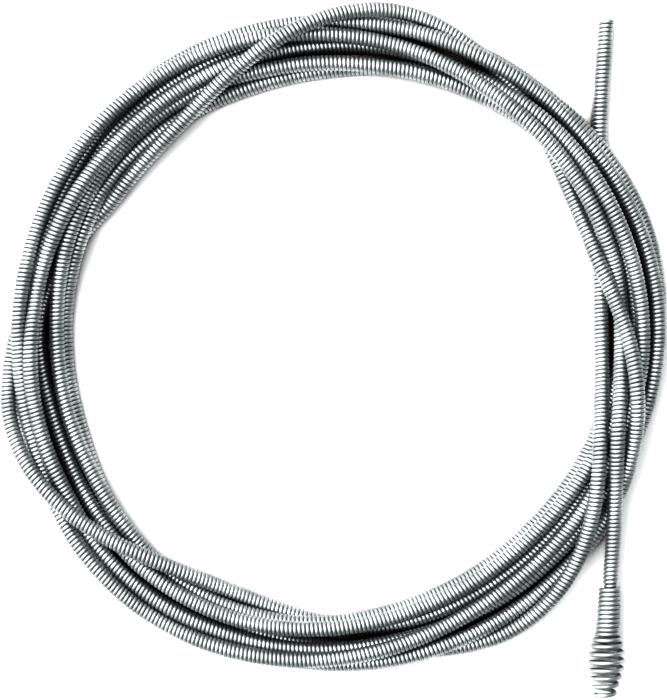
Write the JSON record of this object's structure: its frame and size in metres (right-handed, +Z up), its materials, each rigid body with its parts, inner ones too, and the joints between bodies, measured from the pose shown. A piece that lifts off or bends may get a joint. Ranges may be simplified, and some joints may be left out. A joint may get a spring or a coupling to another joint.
{
  "type": "drain auger",
  "caption": "Hand drain auger: long close-wound spring cable in a loose flat coil, with a plain end and a screwed-on bulb auger head.",
  "frame": {"origin": "middle of the bottom of the whole part's box, on the surface the coil lies on", "axes": "+Z up out of the coil; -Y is the way the auger head points; +X is the side of the coil where both cable ends are"},
  "size_m": [0.3358, 0.352, 0.024],
  "materials": {
    "spring_steel": "bright drawn spring wire with a dull zinc sheen and grey grime between the turns",
    "head_steel": "bright drawn wire, rubbed brighter on the outside of the bulb"
  },
  "bodies": {
    "cable": {"cable_coil": "spring_steel", "cable_plain_end": "spring_steel", "cable_head_end": "spring_steel", "cable_screw_end": "spring_steel"},
    "head": {"auger_head": "head_steel"}
  },
  "joints": [
    {"name": "head_screw", "type": "hinge", "parent": "cable", "child": "head", "pos_m": [0.1397, -0.11895, 0.0096], "axis": [-0.0611, -0.9981, 0], "continuous": true}
  ]
}
